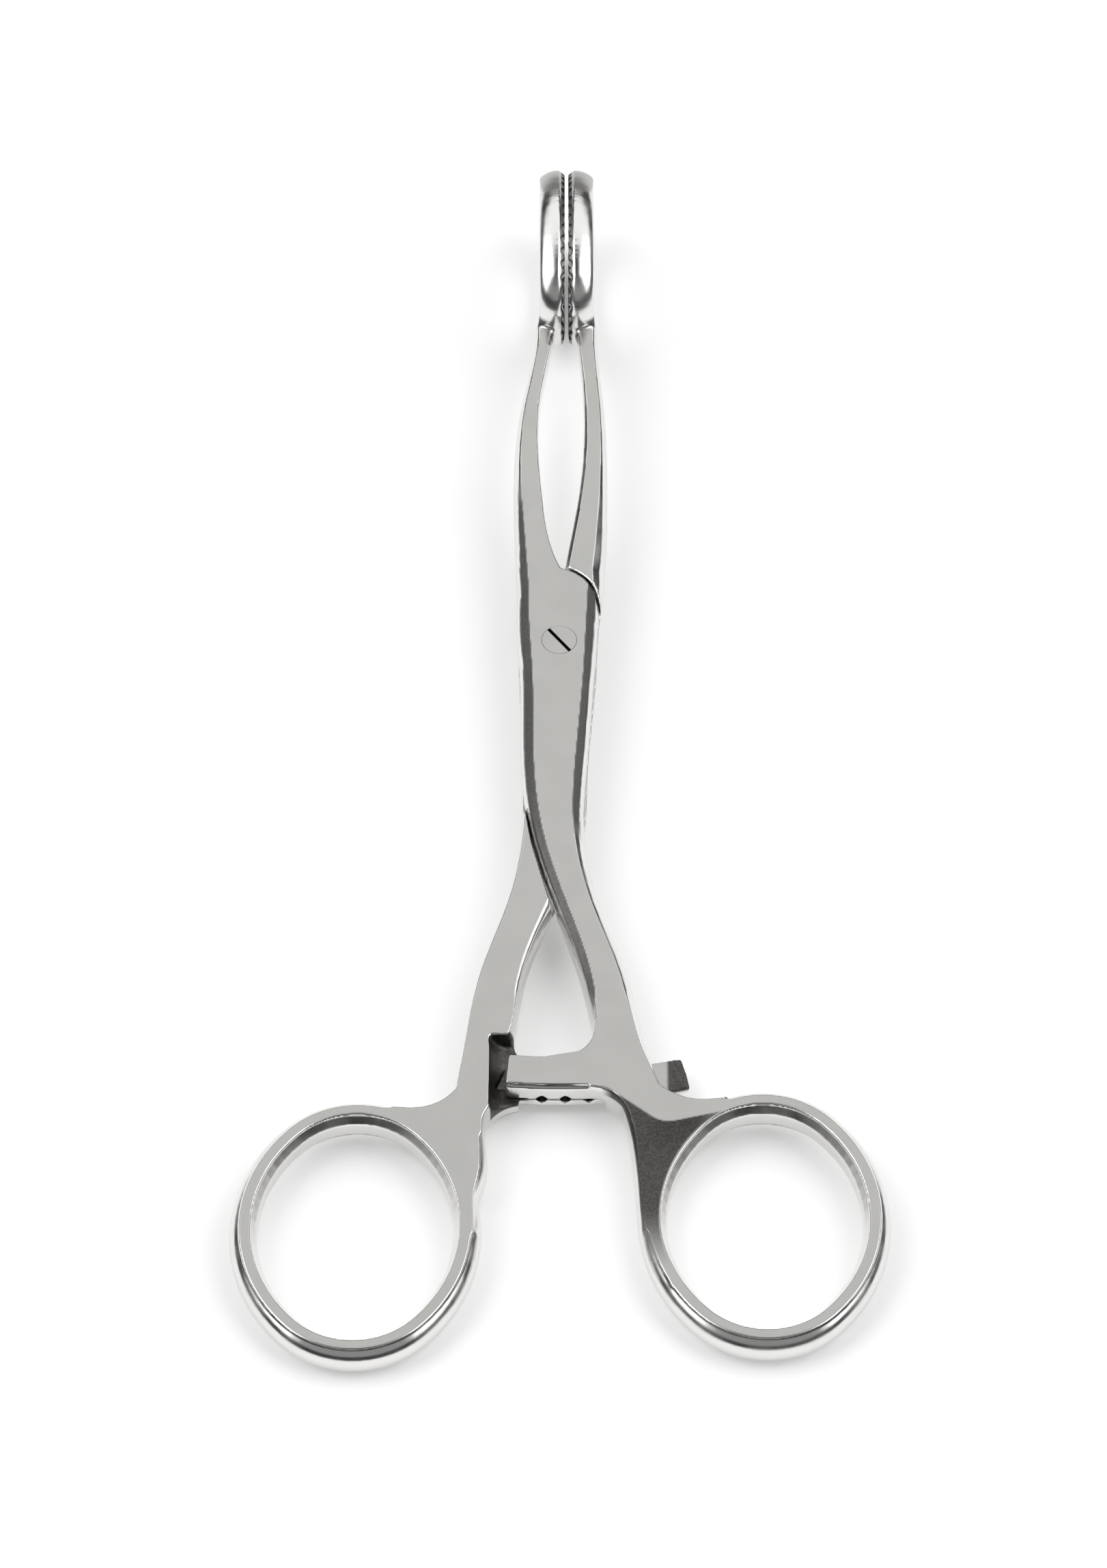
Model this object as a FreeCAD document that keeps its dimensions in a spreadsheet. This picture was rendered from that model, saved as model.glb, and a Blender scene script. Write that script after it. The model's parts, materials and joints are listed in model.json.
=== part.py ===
"""Ring-handled tongue forceps: two lapped steel halves that turn on one slotted screw.

Instrument frame used while modelling, in millimetres: the screw's axis is Z, the lap plane is z = 0,
+Y points to the jaws and +X to the right. The finished parts are then tilted and moved together so that
the forceps lies on its jaw loops and finger rings, with z = 0 as the surface that it lies on.
"""
import FreeCAD
import Part
import Sketcher
import math
import os

Vector = FreeCAD.Vector
Rotation = FreeCAD.Rotation
Placement = FreeCAD.Placement

doc = FreeCAD.newDocument("tongue_forceps")
sheet = doc.addObject("Spreadsheet::Sheet", "sizes")

# ---------------------------------------------------------------------------------------------
# Driving dimensions
# ---------------------------------------------------------------------------------------------
SIZES = {
    # lap joint and screw
    "lap_clearance": 0.03,
    "plate_depth": 2.2,
    "corner_start_x": 0.30,
    "corner_start_y": 11.0,
    "corner_middle_x": 3.25,
    "corner_middle_y": 9.05,
    "corner_end_x": 4.60,
    "corner_end_y": 5.5,
    "shoulder_gap": 0.30,
    "pocket_end_y": -39.0,
    "pocket_relief": 2.0,
    "wall_gap": 0.25,
    "screw_head_radius": 2.05,
    "screw_head_depth": 0.9,
    "screw_shank_radius": 1.4,
    "screw_running_clearance": 0.05,
    "screw_slot_wide": 0.42,
    "screw_slot_deep": 0.6,
    "screw_slot_angle": 128.0,
    # shank section: how far a bevel drops for each millimetre that it runs
    "bevel_slope": 0.75,
    # jaw loops
    "jaw_centre_x": 0.95,
    "jaw_centre_y": 62.0,
    "jaw_centre_z": 0.2,
    "jaw_half_long": 12.9,
    "jaw_half_high": 8.6,
    "jaw_droop": 5.0,
    "jaw_end_radius": 7.3,
    "jaw_rim": 2.3,
    "jaw_wide": 3.25,
    "jaw_crown": 0.15,
    "jaw_outer_drop": 1.1,
    "jaw_face_bevel": 0.8,
    "jaw_bevel_drop": 0.75,
    "jaw_inner_bevel": 0.5,
    "jaw_gap": 0.44,
    "tooth_radius": 0.62,
    "tooth_deep": 0.42,
    "tooth_count": 36,
    # finger rings
    "ring_hole_half_wide": 10.9,
    "ring_hole_half_long": 14.1,
    "ring_end_radius": 8.6,
    "ring_band": 3.1,
    "ring_half_thick": 2.1,
    "ring_half_wall": 0.9,
    "ring_bevel": 0.8,
    "ring_flat": 0.75,
    "upper_ring_x": 22.75,
    "upper_ring_y": -80.7,
    "lower_ring_x": -22.6,
    "lower_ring_y": -82.1,
    # ratchet arms, swept about the screw
    "arm_inner_radius": 59.6,
    "arm_outer_radius": 63.7,
    "arm_half_stack": 2.15,
    "arm_split": -0.45,
    "arm_tip_gap": 0.12,
    "arm_slot_gap": 0.4,
    "arm_edge_bevel": 0.6,
    "fill_inset": 0.1,
    "upper_arm_from": -5.85,
    "upper_arm_to": 6.5,
    "lower_arm_from": -9.0,
    "lower_arm_to": 14.3,
    "ratchet_pitch_angle": 2.4,
    "ratchet_tooth_deep": 0.5,
    "upper_tooth_angle": -1.8,
    "upper_tooth_count": 2,
    "lower_tooth_angle": -4.2,
    "lower_tooth_count": 6,
    "tooth_overrun": 2.0,
    "slot_reach_left": 12.0,
    "slot_reach_right": 24.0,
    "slot_deep": 6.0,
    "step_radius": 2.65,
    "step_centre_x": -5.3,
    "step_far_y": -56.5,
    "step_near_y": -66.0,
}

# Stations down each half, from the jaw to the ring: distance along Y, left edge, right edge, half
# thickness, then the left rim and bevel and the right bevel and rim. A rim is the rounded side's bulge.
# The jaw shank ends, and the handle starts, at the joint's upper edge, where the plate widens.
STATION_QUANTITIES = ("along", "left", "right", "half", "rim_left", "bevel_left", "bevel_right", "rim_right")
SHANKS = {
    "upper": (
        ("root", 50.4, -2.90, -0.45, 1.30, 0.30, 0.20, 0.15, 0.10),
        ("neck", 43.0, -3.60, -1.55, 1.45, 0.40, 0.20, 0.15, 0.10),
        ("bow", 34.0, -5.05, -2.50, 1.75, 0.50, 0.25, 0.15, 0.10),
        ("hip", 25.5, -5.50, -2.20, 2.00, 0.60, 0.35, 0.15, 0.10),
        ("flare", 16.5, -5.35, -1.30, 2.15, 0.65, 0.60, 0.15, 0.10),
        ("top", 11.0, -5.20, 0.30, 2.20, 0.65, 0.80, 0.15, 0.10),
    ),
    "lower": (
        ("root", 50.4, 1.90, 4.75, 1.30, 0.10, 0.15, 0.20, 0.35),
        ("neck", 43.0, 2.70, 5.00, 1.45, 0.10, 0.25, 0.20, 0.40),
        ("bow", 34.0, 3.00, 5.70, 1.75, 0.10, 0.45, 0.25, 0.50),
        ("hip", 25.5, 2.60, 5.85, 2.00, 0.10, 0.50, 0.40, 0.55),
        ("flare", 16.5, 1.40, 5.75, 2.15, 0.10, 0.55, 0.75, 0.60),
        ("top", 11.0, 0.60, 5.40, 2.20, 0.10, 0.55, 0.85, 0.65),
    ),
}
HANDLES = {
    "upper": (
        ("top", 11.0, -5.20, 5.00, 2.20, 0.65, 0.80, 0.90, 0.65),
        ("plate", 5.5, -5.10, 4.78, 2.20, 0.65, 0.88, 0.90, 0.63),
        ("joint", 0.0, -4.95, 4.50, 2.20, 0.65, 0.95, 0.90, 0.60),
        ("heel", -11.0, -4.60, 3.75, 2.20, 0.65, 0.95, 0.90, 0.55),
        ("waist", -22.0, -4.20, 3.00, 2.20, 0.60, 0.95, 0.85, 0.60),
        ("cross", -29.5, -3.00, 3.10, 2.20, 0.55, 0.95, 0.55, 0.75),
        ("leg", -38.0, -0.60, 4.85, 2.20, 0.55, 0.95, 0.45, 0.80),
        ("shin", -47.0, 2.10, 7.70, 2.20, 0.50, 0.90, 0.40, 0.80),
        ("ankle", -55.0, 3.75, 9.30, 2.20, 0.40, 0.55, 0.35, 0.80),
        ("instep", -63.0, 6.10, 11.60, 2.15, 0.40, 0.30, 0.30, 0.50),
        ("sole", -70.0, 7.80, 12.30, 2.05, 0.45, 0.35, 0.30, 0.50),
        ("ball", -76.5, 8.35, 11.40, 2.00, 0.45, 0.35, 0.30, 0.50),
        ("toe", -82.5, 8.72, 10.80, 1.95, 0.45, 0.35, 0.30, 0.50),
    ),
    "lower": (
        ("top", 11.0, -5.20, 5.40, 2.20, 0.65, 0.80, 0.85, 0.65),
        ("plate", 5.5, -5.10, 5.02, 2.20, 0.65, 0.86, 0.90, 0.65),
        ("joint", 0.0, -4.95, 4.60, 2.20, 0.65, 0.90, 0.95, 0.65),
        ("heel", -11.0, -4.55, 3.90, 2.20, 0.55, 0.60, 0.90, 0.60),
        ("waist", -22.0, -4.30, 3.30, 2.20, 0.40, 0.35, 0.85, 0.55),
        ("cross", -29.5, -4.60, 2.45, 2.20, 0.25, 0.20, 0.70, 0.50),
        ("leg", -38.0, -6.15, -0.50, 2.20, 0.20, 0.20, 0.45, 0.50),
        ("shin", -47.0, -9.00, -3.60, 2.20, 0.20, 0.20, 0.35, 0.50),
        ("ankle", -55.5, -10.55, -5.00, 2.20, 0.20, 0.20, 0.35, 0.45),
        ("instep", -62.5, -11.70, -7.30, 2.15, 0.30, 0.25, 0.30, 0.40),
        ("sole", -69.5, -12.20, -8.30, 2.05, 0.40, 0.30, 0.35, 0.45),
        ("ball", -76.0, -11.50, -8.40, 2.00, 0.40, 0.30, 0.35, 0.45),
        ("toe", -83.0, -10.60, -8.55, 1.95, 0.40, 0.30, 0.35, 0.45),
    ),
}


# Filled corners at the foot of each half: the corners of each outline, and a point on the arc from its first
# corner to its second. The web joins handle and ring, the heel rounds the space between the rings, and the
# fork rounds the space between the handles.
FILLS = {
    "upper_web": (
        ((9.4, -57.5), (18.8, -64.6), (17.7, -66.1), (10.2, -72.4), (8.8, -68.4)),
        (12.2, -64.0),
    ),
    "lower_web": (
        ((-10.2, -59.5), (-19.0, -65.9), (-17.6, -67.4), (-10.1, -73.7), (-10.0, -69.7)),
        (-12.4, -64.7),
    ),
    "upper_heel": (
        ((3.4, -63.7), (7.8, -68.1), (9.2, -68.1), (9.2, -62.5), (3.4, -62.5)),
        (6.5, -65.0),
    ),
    "lower_heel": (
        ((-4.6, -64.3), (-8.4, -69.9), (-9.8, -69.9), (-9.8, -62.5), (-4.6, -62.5)),
        (-7.6, -66.0),
    ),
    "upper_fork": (
        ((3.95, -55.0), (-0.85, -59.4), (-0.85, -61.1), (5.75, -61.1), (4.65, -53.4)),
        (2.85, -58.25),
    ),
    "lower_fork": (
        ((-5.2, -55.0), (-0.4, -59.4), (-0.4, -61.1), (-7.0, -61.1), (-5.9, -53.4)),
        (-4.1, -58.25),
    ),
}

# A length that reaches past the metal, and the share of a gap that each axis has on a diagonal
FAR = 30.0
DIAGONAL = math.sqrt(0.5)
# Settling the forceps on its table: how fine the shapes are measured, and how many times
FINENESS = 0.05
SETTLINGS = 4


def fill_sheet():
    """Write every driving dimension as a plain number with a word for its alias."""
    numbers = dict(SIZES)
    for fill, (corners, _) in FILLS.items():
        for number, (x, y) in enumerate(corners):
            numbers[f"{fill}_{number}_x"] = x
            numbers[f"{fill}_{number}_y"] = y
    for group, halves in (("shank", SHANKS), ("handle", HANDLES)):
        for half, stations in halves.items():
            for name, *values in stations:
                for quantity, value in zip(STATION_QUANTITIES, values):
                    numbers[f"{half}_{group}_{name}_{quantity}"] = value
    for row, (alias, value) in enumerate(numbers.items(), start=1):
        sheet.set(f"A{row}", alias)
        sheet.set(f"B{row}", f"{value:g}")
        sheet.setAlias(f"B{row}", alias)
    doc.recompute()


class Rule:
    """An expression of sheet cells, together with the number that it has now."""

    def __init__(self, text, value):
        self.text = text
        self.value = value

    def combine(self, other, sign, value):
        return Rule(f"({self.text} {sign} {as_rule(other).text})", value)

    def __add__(self, other):
        return self.combine(other, "+", self.value + as_rule(other).value)

    def __sub__(self, other):
        return self.combine(other, "-", self.value - as_rule(other).value)

    def __mul__(self, other):
        return self.combine(other, "*", self.value * as_rule(other).value)

    def __neg__(self):
        return Rule(f"(-{self.text})", -self.value)


def as_rule(number):
    """A plain number as a rule; a rule is left as it is."""
    return number if isinstance(number, Rule) else Rule(f"{number:g}", float(number))


def cell(alias):
    """The rule that reads one cell of the sheet."""
    return Rule(f"sizes.{alias}", float(sheet.get(alias)))


def bind(target, rules):
    """Bind each named property of an object to its rule."""
    for name, rule in rules.items():
        target.setExpression(name, as_rule(rule).text)


# ---------------------------------------------------------------------------------------------
# Sketches
# ---------------------------------------------------------------------------------------------
CROSSWISE = Rotation(Vector(1, 0, 0), 90)      # sketch X stays X, and sketch Y becomes Z
LENGTHWISE = Rotation(Vector(1, 1, 1), 120)    # sketch X becomes Y, and sketch Y becomes Z
FLAT = Rotation()


def hold_point(sketch, edge, end, point):
    """Hold a sketch point at coordinates given by two rules."""
    for kind, rule in (("DistanceX", point[0]), ("DistanceY", point[1])):
        index = sketch.addConstraint(Sketcher.Constraint(kind, edge, end, as_rule(rule).value))
        sketch.setExpression(f"Constraints[{index}]", as_rule(rule).text)


def plane_point(point):
    return Vector(as_rule(point[0]).value, as_rule(point[1]).value, 0)


def closed_sketch(name, placement, corners, arcs=None):
    """A closed outline. arcs maps the number of the corner where an arc starts to a point on it."""
    arcs = arcs or {}
    sketch = doc.addObject("Sketcher::SketchObject", name)
    sketch.Placement = placement
    for index, corner in enumerate(corners):
        start = plane_point(corner)
        end = plane_point(corners[(index + 1) % len(corners)])
        if index in arcs:
            edge = sketch.addGeometry(Part.Arc(start, plane_point(arcs[index]), end), False)
        else:
            edge = sketch.addGeometry(Part.LineSegment(start, end), False)
        starts_first = (sketch.getPoint(edge, 1) - start).Length < 1e-6
        hold_point(sketch, edge, 1 if starts_first else 2, corner)
        hold_point(sketch, edge, 2 if starts_first else 1, corners[(index + 1) % len(corners)])
        if index in arcs:
            dot = sketch.addGeometry(Part.Point(plane_point(arcs[index])), True)
            hold_point(sketch, dot, 1, arcs[index])
            sketch.addConstraint(Sketcher.Constraint("PointOnObject", dot, 1, edge))
    return sketch


def bar_section(half, group, name):
    """One station of a shank: flat top and bottom, a bevel at each corner, and rounded sides."""
    value = {quantity: cell(f"{half}_{group}_{name}_{quantity}") for quantity in STATION_QUANTITIES}
    slope = cell("bevel_slope")
    left_rim = value["left"] + value["rim_left"]
    right_rim = value["right"] - value["rim_right"]
    left_flat = left_rim + value["bevel_left"]
    right_flat = right_rim - value["bevel_right"]
    left_side = value["half"] - value["bevel_left"] * slope
    right_side = value["half"] - value["bevel_right"] * slope
    corners = [
        (left_flat, value["half"]),
        (right_flat, value["half"]),
        (right_rim, right_side),
        (right_rim, -right_side),
        (right_flat, -value["half"]),
        (left_flat, -value["half"]),
        (left_rim, -left_side),
        (left_rim, left_side),
    ]
    arcs = {2: (value["right"], 0), 6: (value["left"], 0)}
    place = Placement(Vector(0, value["along"].value, 0), CROSSWISE)
    sketch = closed_sketch(f"{half}_{group}_{name}", place, corners, arcs)
    bind(sketch, {"Placement.Base.y": value["along"]})
    return sketch


def loft(name, sections):
    """A solid through a row of sections."""
    result = doc.addObject("Part::Loft", name)
    result.Sections = sections
    result.MaxDegree = 3
    result.Solid = True
    return result


def fuse(name, shapes):
    """Join solids in one step: for tools, and for solids that meet face to face."""
    result = doc.addObject("Part::MultiFuse", name)
    result.Shapes = shapes
    result.Refine = True
    return result


def join(name, shapes):
    """Join overlapping solids one after another."""
    whole = shapes[0]
    for number, shape in enumerate(shapes[1:], start=1):
        step = doc.addObject("Part::Fuse", name if number == len(shapes) - 1 else f"{name}_{number}")
        step.Base = whole
        step.Tool = shape
        step.Refine = True
        whole = step
    return whole


def cut(name, base, tool):
    result = doc.addObject("Part::Cut", name)
    result.Base = base
    result.Tool = tool
    result.Refine = True
    return result


def extrusion(name, sketch, direction, length):
    """A sketch pushed along a direction by a ruled length."""
    result = doc.addObject("Part::Extrusion", name)
    result.Base = sketch
    result.DirMode = "Custom"
    result.Dir = direction
    result.Solid = True
    bind(result, {"LengthFwd": length})
    return result


# ---------------------------------------------------------------------------------------------
# Shanks, rings and jaws
# ---------------------------------------------------------------------------------------------
def make_bars(half):
    """The jaw shank and the handle, two lofts that meet face to face at the joint's upper edge."""
    bars = []
    for group, stations in (("shank", SHANKS[half]), ("handle", HANDLES[half])):
        sections = [bar_section(half, group, name) for name, *_ in stations]
        bars.append(loft(f"{half}_{group}", sections))
    return bars


def oval_arcs(half_long, half_wide, end_radius):
    """The four tangent arcs of an oval: centre, radius, starting angle and turn, in degrees."""
    reach = half_long - end_radius
    side_radius = (reach ** 2 + half_wide ** 2 - end_radius ** 2) / (2 * (half_wide - end_radius))
    meeting = math.degrees(math.atan2(side_radius - half_wide, reach))
    return (
        (Vector(reach, 0, 0), end_radius, -meeting, 2 * meeting),
        (Vector(0, half_wide - side_radius, 0), side_radius, meeting, 180 - 2 * meeting),
        (Vector(-reach, 0, 0), end_radius, 180 - meeting, 2 * meeting),
        (Vector(0, side_radius - half_wide, 0), side_radius, 180 + meeting, 180 - 2 * meeting),
    )


def oval_loop(name, frame, arcs, corners, bulges):
    """A closed loop: one section turned through each of an oval's four arcs.

    The section's X is the distance outside the oval, and its Y is the frame's Z.
    """
    quarters = []
    for number, (centre, radius, start, turn) in enumerate(arcs):
        direction = Vector(math.cos(math.radians(start)), math.sin(math.radians(start)), 0)
        local = Placement(centre + direction * radius, Rotation(Vector(0, 0, 1), start).multiply(CROSSWISE))
        section = closed_sketch(f"{name}_section_{number}", frame.multiply(local), corners, bulges)
        quarter = doc.addObject("Part::Revolution", f"{name}_arc_{number}")
        quarter.Source = section
        quarter.Base = frame.multVec(centre)
        quarter.Axis = frame.Rotation.multVec(Vector(0, 0, 1))
        quarter.Angle = turn
        quarter.Solid = True
        quarters.append(quarter)
    return fuse(name, quarters)


def make_ring(half):
    """The finger ring: an oval hole with bevelled walls, a flat top and a rounded outer side."""
    centre = Vector(SIZES[f"{half}_ring_x"], SIZES[f"{half}_ring_y"], 0)
    frame = Placement(centre, Rotation(Vector(0, 0, 1), 90))
    arcs = oval_arcs(SIZES["ring_hole_half_long"], SIZES["ring_hole_half_wide"], SIZES["ring_end_radius"])
    wall = cell("ring_half_wall")
    thick = cell("ring_half_thick")
    bevel = cell("ring_bevel")
    flat = bevel + cell("ring_flat")
    corners = [(0, -wall), (0, wall), (bevel, thick), (flat, thick), (flat, -thick), (bevel, -thick)]
    return oval_loop(f"{half}_ring", frame, arcs, corners, {3: (cell("ring_band"), 0)})


def half_arc(run, drop):
    """Where an arc's middle is, when it starts level and goes so far along and down."""
    radius = (run ** 2 + drop ** 2) / (2 * drop)
    half_turn = math.atan2(run, radius - drop) / 2
    return radius * math.sin(half_turn), radius * (1 - math.cos(half_turn))


def make_jaw(half, side):
    """One jaw: an oval loop in the YZ plane, with a crowned outer rim and a row of teeth on its face.

    side is -1 for the left jaw and +1 for the right jaw.
    """
    droop = Rotation(Vector(1, 0, 0), -SIZES["jaw_droop"])
    centre = Vector(SIZES["jaw_centre_x"], SIZES["jaw_centre_y"], SIZES["jaw_centre_z"])
    frame = Placement(centre, droop.multiply(LENGTHWISE))
    depth = SIZES["jaw_rim"]
    arcs = oval_arcs(SIZES["jaw_half_long"] - depth, SIZES["jaw_half_high"] - depth,
                     SIZES["jaw_end_radius"] - depth)
    rim = cell("jaw_rim")
    face = cell("jaw_gap") * 0.5
    back = cell("jaw_wide") + face
    crown = rim - cell("jaw_crown")
    bevel_end = face + cell("jaw_face_bevel")
    corners = [
        (0, face * side),
        (rim - cell("jaw_bevel_drop"), face * side),
        (crown, bevel_end * side),
        (crown - cell("jaw_outer_drop"), back * side),
        (cell("jaw_inner_bevel"), back * side),
        (0, (back - cell("jaw_inner_bevel")) * side),
    ]
    middle_run, middle_drop = half_arc((back - bevel_end).value, SIZES["jaw_outer_drop"])
    bulges = {2: (crown - middle_drop, (bevel_end + middle_run) * side)}
    loop = oval_loop(f"{half}_jaw_loop", frame, arcs, corners, bulges)
    return cut(f"{half}_jaw", loop, make_teeth(half, side, frame, arcs))


def make_teeth(half, side, frame, arcs):
    """Round-bottomed grooves across the jaw's face, evenly spaced round the loop."""
    depth = SIZES["jaw_rim"]
    level = side * (SIZES["jaw_gap"] / 2 + SIZES["tooth_deep"] - SIZES["tooth_radius"])
    lengths = [(radius + depth / 2) * math.radians(turn) for _, radius, _, turn in arcs]
    pitch = sum(lengths) / int(SIZES["tooth_count"])
    grooves = []
    walked = pitch / 2
    for (centre, radius, start, turn), length in zip(arcs, lengths):
        while walked < length:
            angle = math.radians(start + turn * walked / length)
            outward = Vector(math.cos(angle), math.sin(angle), 0)
            groove = doc.addObject("Part::Cylinder", f"{half}_groove")
            bind(groove, {"Radius": cell("tooth_radius"), "Height": cell("jaw_rim") * 2})
            base = centre + outward * (radius - depth / 2) + Vector(0, 0, level)
            groove.Placement = frame.multiply(Placement(base, Rotation(Vector(0, 0, 1), outward)))
            grooves.append(groove)
            walked += pitch
        walked -= length
    return fuse(f"{half}_grooves", grooves)


# ---------------------------------------------------------------------------------------------
# Lap joint
# ---------------------------------------------------------------------------------------------
def corner_tool(half, side):
    """Cuts the plate's corner round on the side away from its own jaw, through the whole thickness."""
    across = -side
    start = (cell("corner_start_x") * across, cell("corner_start_y"))
    middle = (cell("corner_middle_x") * across, cell("corner_middle_y"))
    end = (cell("corner_end_x") * across, cell("corner_end_y"))
    corners = [start, end, (across * FAR, cell("corner_end_y")), (across * FAR, FAR), (start[0], FAR)]
    place = Placement(Vector(0, 0, -FAR), FLAT)
    outline = closed_sketch(f"{half}_corner_outline", place, corners, {0: middle})
    return extrusion(f"{half}_corner_tool", outline, Vector(0, 0, 1), as_rule(2 * FAR))


def pocket_tool(half, side):
    """Takes away the half's thickness where the other half's plate lies and swings.

    side is -1 for the upper half, whose pocket is below the lap plane and has its shoulder on the left.
    """
    other = "lower" if half == "upper" else "upper"
    gap = cell("shoulder_gap")
    wall = cell("wall_gap")
    near_edge = "right" if other == "lower" else "left"

    def beside(station):
        """A point just outside the other plate's free edge at one of its stations."""
        stem = f"{other}_handle_{station}_"
        return (cell(stem + near_edge) - wall * side, cell(stem + "along"))

    corners = [
        (cell("corner_start_x") * side, cell("corner_start_y") + gap),
        ((cell("corner_end_x") + gap) * side, cell("corner_end_y")),
        (side * FAR, cell("corner_end_y")),
        (side * FAR, cell("pocket_end_y")),
        (cell(f"{other}_handle_leg_{near_edge}") - wall * side, cell("pocket_end_y")),
        beside("cross"),
        beside("waist"),
        (-side * FAR, cell(f"{other}_handle_waist_along") + cell("pocket_relief")),
        (-side * FAR, cell("corner_start_y") + gap),
    ]
    middle_x = (cell("corner_middle_x") + gap * DIAGONAL) * side
    middle = (middle_x, cell("corner_middle_y") + gap * DIAGONAL)
    outline = closed_sketch(f"{half}_pocket_outline", Placement(Vector(), FLAT), corners, {0: middle})
    tool = extrusion(f"{half}_pocket_tool", outline, Vector(0, 0, side), as_rule(FAR))
    bind(outline, {"Placement.Base.z": -cell("lap_clearance") * side * 0.5})
    return tool


def cylinder(name, radius, base, axis, height):
    result = doc.addObject("Part::Cylinder", name)
    result.Placement = Placement(base, Rotation(Vector(0, 0, 1), axis))
    bind(result, {"Radius": radius, "Height": height})
    return result


def screw_bore(half):
    """The bore for the screw: clear of it in the upper half, and holding its thread in the lower."""
    clearance = cell("screw_running_clearance") if half == "upper" else as_rule(0)
    depth = SIZES["plate_depth"]
    shank = cylinder(f"{half}_shank_bore", cell("screw_shank_radius") + clearance,
                     Vector(0, 0, -2 * depth), Vector(0, 0, 1), as_rule(4 * depth))
    if half == "lower":
        return [shank]
    floor = depth - SIZES["screw_head_depth"] - SIZES["lap_clearance"]
    head = cylinder(f"{half}_head_bore", cell("screw_head_radius") + clearance,
                    Vector(0, 0, floor), Vector(0, 0, 1), as_rule(2 * depth))
    return [shank, head]


def make_screw():
    """The slotted pivot screw, flush with the top plate and with the underside."""
    depth = cell("plate_depth")
    head = cell("screw_head_radius")
    shank = cell("screw_shank_radius")
    head_floor = depth - cell("screw_head_depth")
    corners = [
        (0, -depth),
        (shank, -depth),
        (shank, head_floor),
        (head, head_floor),
        (head, depth),
        (0, depth),
    ]
    profile = closed_sketch("screw_profile", Placement(Vector(), CROSSWISE), corners)
    blank = doc.addObject("Part::Revolution", "screw_blank")
    blank.Source = profile
    blank.Axis = Vector(0, 0, 1)
    blank.Angle = 360
    blank.Solid = True
    slot = doc.addObject("Part::Box", "screw_slot")
    length = 3 * SIZES["screw_head_radius"]
    height = cell("screw_slot_deep") * 2
    bind(slot, {"Length": as_rule(length), "Width": cell("screw_slot_wide"), "Height": height})
    turn = Rotation(Vector(0, 0, 1), SIZES["screw_slot_angle"])
    corner = turn.multVec(Vector(-length / 2, -SIZES["screw_slot_wide"] / 2, 0))
    level = SIZES["plate_depth"] - SIZES["screw_slot_deep"]
    slot.Placement = Placement(corner + Vector(0, 0, level), turn)
    return cut("pivot_screw", blank, slot)


# ---------------------------------------------------------------------------------------------
# Ratchet arms
# ---------------------------------------------------------------------------------------------
def annulus(name, inner, outer, first_x, last_x, low, high):
    """Part of a flat ring about the screw, below the joint, from one X to another."""
    radius = (SIZES["arm_inner_radius"] + SIZES["arm_outer_radius"]) / 2
    first = -90 + math.degrees(math.asin(first_x / radius))
    last = -90 + math.degrees(math.asin(last_x / radius))
    discs = []
    for part, rule in (("rim", outer), ("core", inner)):
        disc = doc.addObject("Part::Cylinder", f"{name}_{part}")
        bind(disc, {"Radius": rule, "Height": as_rule(high - low), "Angle": as_rule(last - first)})
        disc.Placement = Placement(Vector(0, 0, low), Rotation(Vector(0, 0, 1), first))
        discs.append(disc)
    return cut(name, *discs)


def make_arm(half):
    """A ratchet arm with its row of teeth, and a bevel along its outer edge on the upper half."""
    split = SIZES["arm_split"]
    stack = SIZES["arm_half_stack"]
    low, high = (split, stack) if half == "upper" else (-stack, split - SIZES["arm_tip_gap"])
    blank = annulus(f"{half}_arm_blank", cell("arm_inner_radius"), cell("arm_outer_radius"),
                    SIZES[f"{half}_arm_from"], SIZES[f"{half}_arm_to"], low, high)
    doc.recompute()
    edge_level = high if half == "upper" else low
    outer = SIZES["arm_outer_radius"]
    edges = []
    for number, edge in enumerate(blank.Shape.Edges, start=1):
        middle = edge.CenterOfMass
        round_edge = hasattr(edge.Curve, "Radius") and abs(edge.Curve.Radius - outer) < 0.01
        if round_edge and abs(middle.z - edge_level) < 0.01:
            edges.append((number, SIZES["arm_edge_bevel"], SIZES["arm_edge_bevel"]))
    bevelled = doc.addObject("Part::Chamfer", f"{half}_arm_bevelled")
    bevelled.Base = blank
    bevelled.Edges = edges
    mating_level = low if half == "upper" else high
    return cut(f"{half}_arm", bevelled, ratchet_grooves(half, mating_level))


def ratchet_grooves(half, level):
    """V grooves across an arm, each turned about the screw by one pitch from the last."""
    deep = SIZES["ratchet_tooth_deep"]
    overrun = SIZES["tooth_overrun"]
    length = cell("arm_outer_radius") - cell("arm_inner_radius") + 2 * overrun
    start = Vector(SIZES["arm_inner_radius"] - overrun, 0, level - deep * math.sqrt(2))
    roll = Rotation(Vector(1, 0, 0), 45)
    grooves = []
    for number in range(int(SIZES[f"{half}_tooth_count"])):
        groove = doc.addObject("Part::Box", f"{half}_tooth_gap")
        bind(groove, {"Length": length, "Width": as_rule(2 * deep), "Height": as_rule(2 * deep)})
        angle = SIZES[f"{half}_tooth_angle"] + number * SIZES["ratchet_pitch_angle"]
        spin = Rotation(Vector(0, 0, 1), angle - 90)
        groove.Placement = Placement(spin.multVec(start), spin.multiply(roll))
        grooves.append(groove)
    return fuse(f"{half}_tooth_gaps", grooves)


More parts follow.
